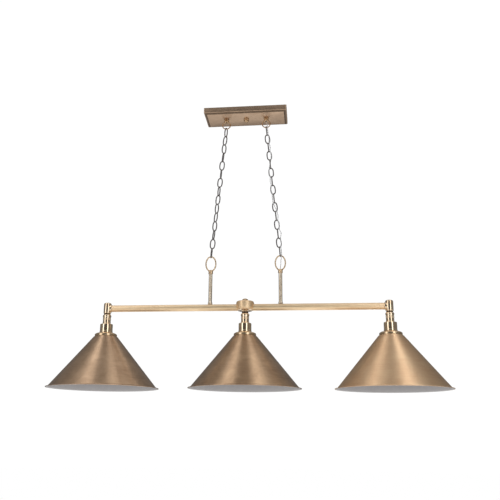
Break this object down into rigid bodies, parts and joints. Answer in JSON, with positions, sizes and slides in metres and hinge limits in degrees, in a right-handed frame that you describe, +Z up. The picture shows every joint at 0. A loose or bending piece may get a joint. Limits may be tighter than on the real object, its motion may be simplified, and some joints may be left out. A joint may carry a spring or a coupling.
{
  "type": "pool table lamp",
  "caption": "Brass bar light with conical shades, hung on two chains from a ceiling canopy, for lighting a pool table evenly.",
  "frame": {"origin": "middle of the face that lies against the ceiling, on top of the mounting bracket", "axes": "+Z up into the ceiling, +X along the bar, -Y towards the viewer; the lamp hangs down -Z"},
  "size_m": [0.9954, 0.28, 0.742],
  "materials": {
    "brushed_brass": "brushed round the cone, antique tint",
    "satin_brass": "satin, lacquered",
    "polished_brass": "polished, lacquered",
    "dark_bronze": "chemically darkened, satin",
    "zinc_steel": "zinc plated",
    "white_insulator": "moulded, low gloss",
    "clear_sheath": "clear flexible sheath over silver strands"
  },
  "bodies": {
    "canopy": {"mounting_bracket": "zinc_steel", "canopy_cover": "brushed_brass", "canopy_cap_nut": "polished_brass", "terminal_block": "white_insulator", "canopy_loop_left": "polished_brass", "canopy_loop_right": "polished_brass"},
    "right_top_link": {"right_chain_link_01": "dark_bronze"},
    "right_chain": {"right_chain_link_02": "dark_bronze", "right_chain_link_03": "dark_bronze", "right_chain_link_04": "dark_bronze", "right_chain_link_05": "dark_bronze", "right_chain_link_06": "dark_bronze", "right_chain_link_07": "dark_bronze", "right_chain_link_08": "dark_bronze", "right_chain_link_09": "dark_bronze", "right_chain_link_10": "dark_bronze", "right_chain_link_11": "dark_bronze", "right_chain_link_12": "dark_bronze", "right_chain_link_13": "dark_bronze", "right_chain_link_14": "dark_bronze", "supply_flex": "clear_sheath"},
    "right_bottom_link": {"right_chain_link_15": "dark_bronze"},
    "left_top_link": {"left_chain_link_01": "dark_bronze"},
    "left_chain": {"left_chain_link_02": "dark_bronze", "left_chain_link_03": "dark_bronze", "left_chain_link_04": "dark_bronze", "left_chain_link_05": "dark_bronze", "left_chain_link_06": "dark_bronze", "left_chain_link_07": "dark_bronze", "left_chain_link_08": "dark_bronze", "left_chain_link_09": "dark_bronze", "left_chain_link_10": "dark_bronze", "left_chain_link_11": "dark_bronze", "left_chain_link_12": "dark_bronze", "left_chain_link_13": "dark_bronze", "left_chain_link_14": "dark_bronze"},
    "left_bottom_link": {"left_chain_link_15": "dark_bronze"},
    "lamp": {"rod_loop_left": "polished_brass", "rod_loop_right": "polished_brass", "rod_left": "satin_brass", "rod_right": "satin_brass", "hub_body": "satin_brass", "hub_cover": "satin_brass", "hub_finial": "polished_brass", "arm_left": "satin_brass", "arm_right": "satin_brass", "knuckle_left": "polished_brass", "knuckle_right": "polished_brass", "lampholder_cover_left": "polished_brass", "shade_cap_left": "polished_brass", "shade_left": "brushed_brass", "lamp_socket_left": "white_insulator", "lampholder_cover_middle": "polished_brass", "shade_cap_middle": "polished_brass", "shade_middle": "brushed_brass", "lamp_socket_middle": "white_insulator", "lampholder_cover_right": "polished_brass", "shade_cap_right": "polished_brass", "shade_right": "brushed_brass", "lamp_socket_right": "white_insulator"}
  },
  "joints": [
    {"name": "front_back_swing", "type": "hinge", "parent": "canopy", "child": "right_top_link", "pos_m": [0.0545, 0, -0.0437], "axis": [1, 0, 0], "range_deg": [-35, 35]},
    {"name": "left_swing_follow", "type": "hinge", "parent": "canopy", "child": "left_top_link", "pos_m": [-0.0545, 0, -0.0437], "axis": [1, 0, 0], "range_deg": [-35, 35]},
    {"name": "side_sway", "type": "hinge", "parent": "right_top_link", "child": "right_chain", "pos_m": [0.05672, 0, -0.06648], "axis": [0, 1, 0], "range_deg": [-12, 12], "deforming": ["supply_flex"]},
    {"name": "left_sway_follow", "type": "hinge", "parent": "left_top_link", "child": "left_chain", "pos_m": [-0.05672, 0, -0.06648], "axis": [0, 1, 0], "range_deg": [-12, 12]},
    {"name": "lamp_level", "type": "hinge", "parent": "right_chain", "child": "right_bottom_link", "pos_m": [0.08761, 0, -0.38337], "axis": [0, 1, 0], "range_deg": [-7.82, 7.82]},
    {"name": "left_level_follow", "type": "hinge", "parent": "left_chain", "child": "left_bottom_link", "pos_m": [-0.08761, 0, -0.38337], "axis": [0, 1, 0], "range_deg": [-7.82, 7.82]},
    {"name": "lamp_tilt", "type": "hinge", "parent": "right_bottom_link", "child": "lamp", "pos_m": [0.0898, 0, -0.4058], "axis": [1, 0, 0], "range_deg": [-30, 30]}
  ],
  "couplings": [
    {"joint": "left_swing_follow", "follows": "front_back_swing", "ratio": 1},
    {"joint": "left_sway_follow", "follows": "side_sway", "ratio": 1},
    {"joint": "lamp_level", "follows": "side_sway", "ratio": -0.64741},
    {"joint": "left_level_follow", "follows": "side_sway", "ratio": -0.64741}
  ]
}
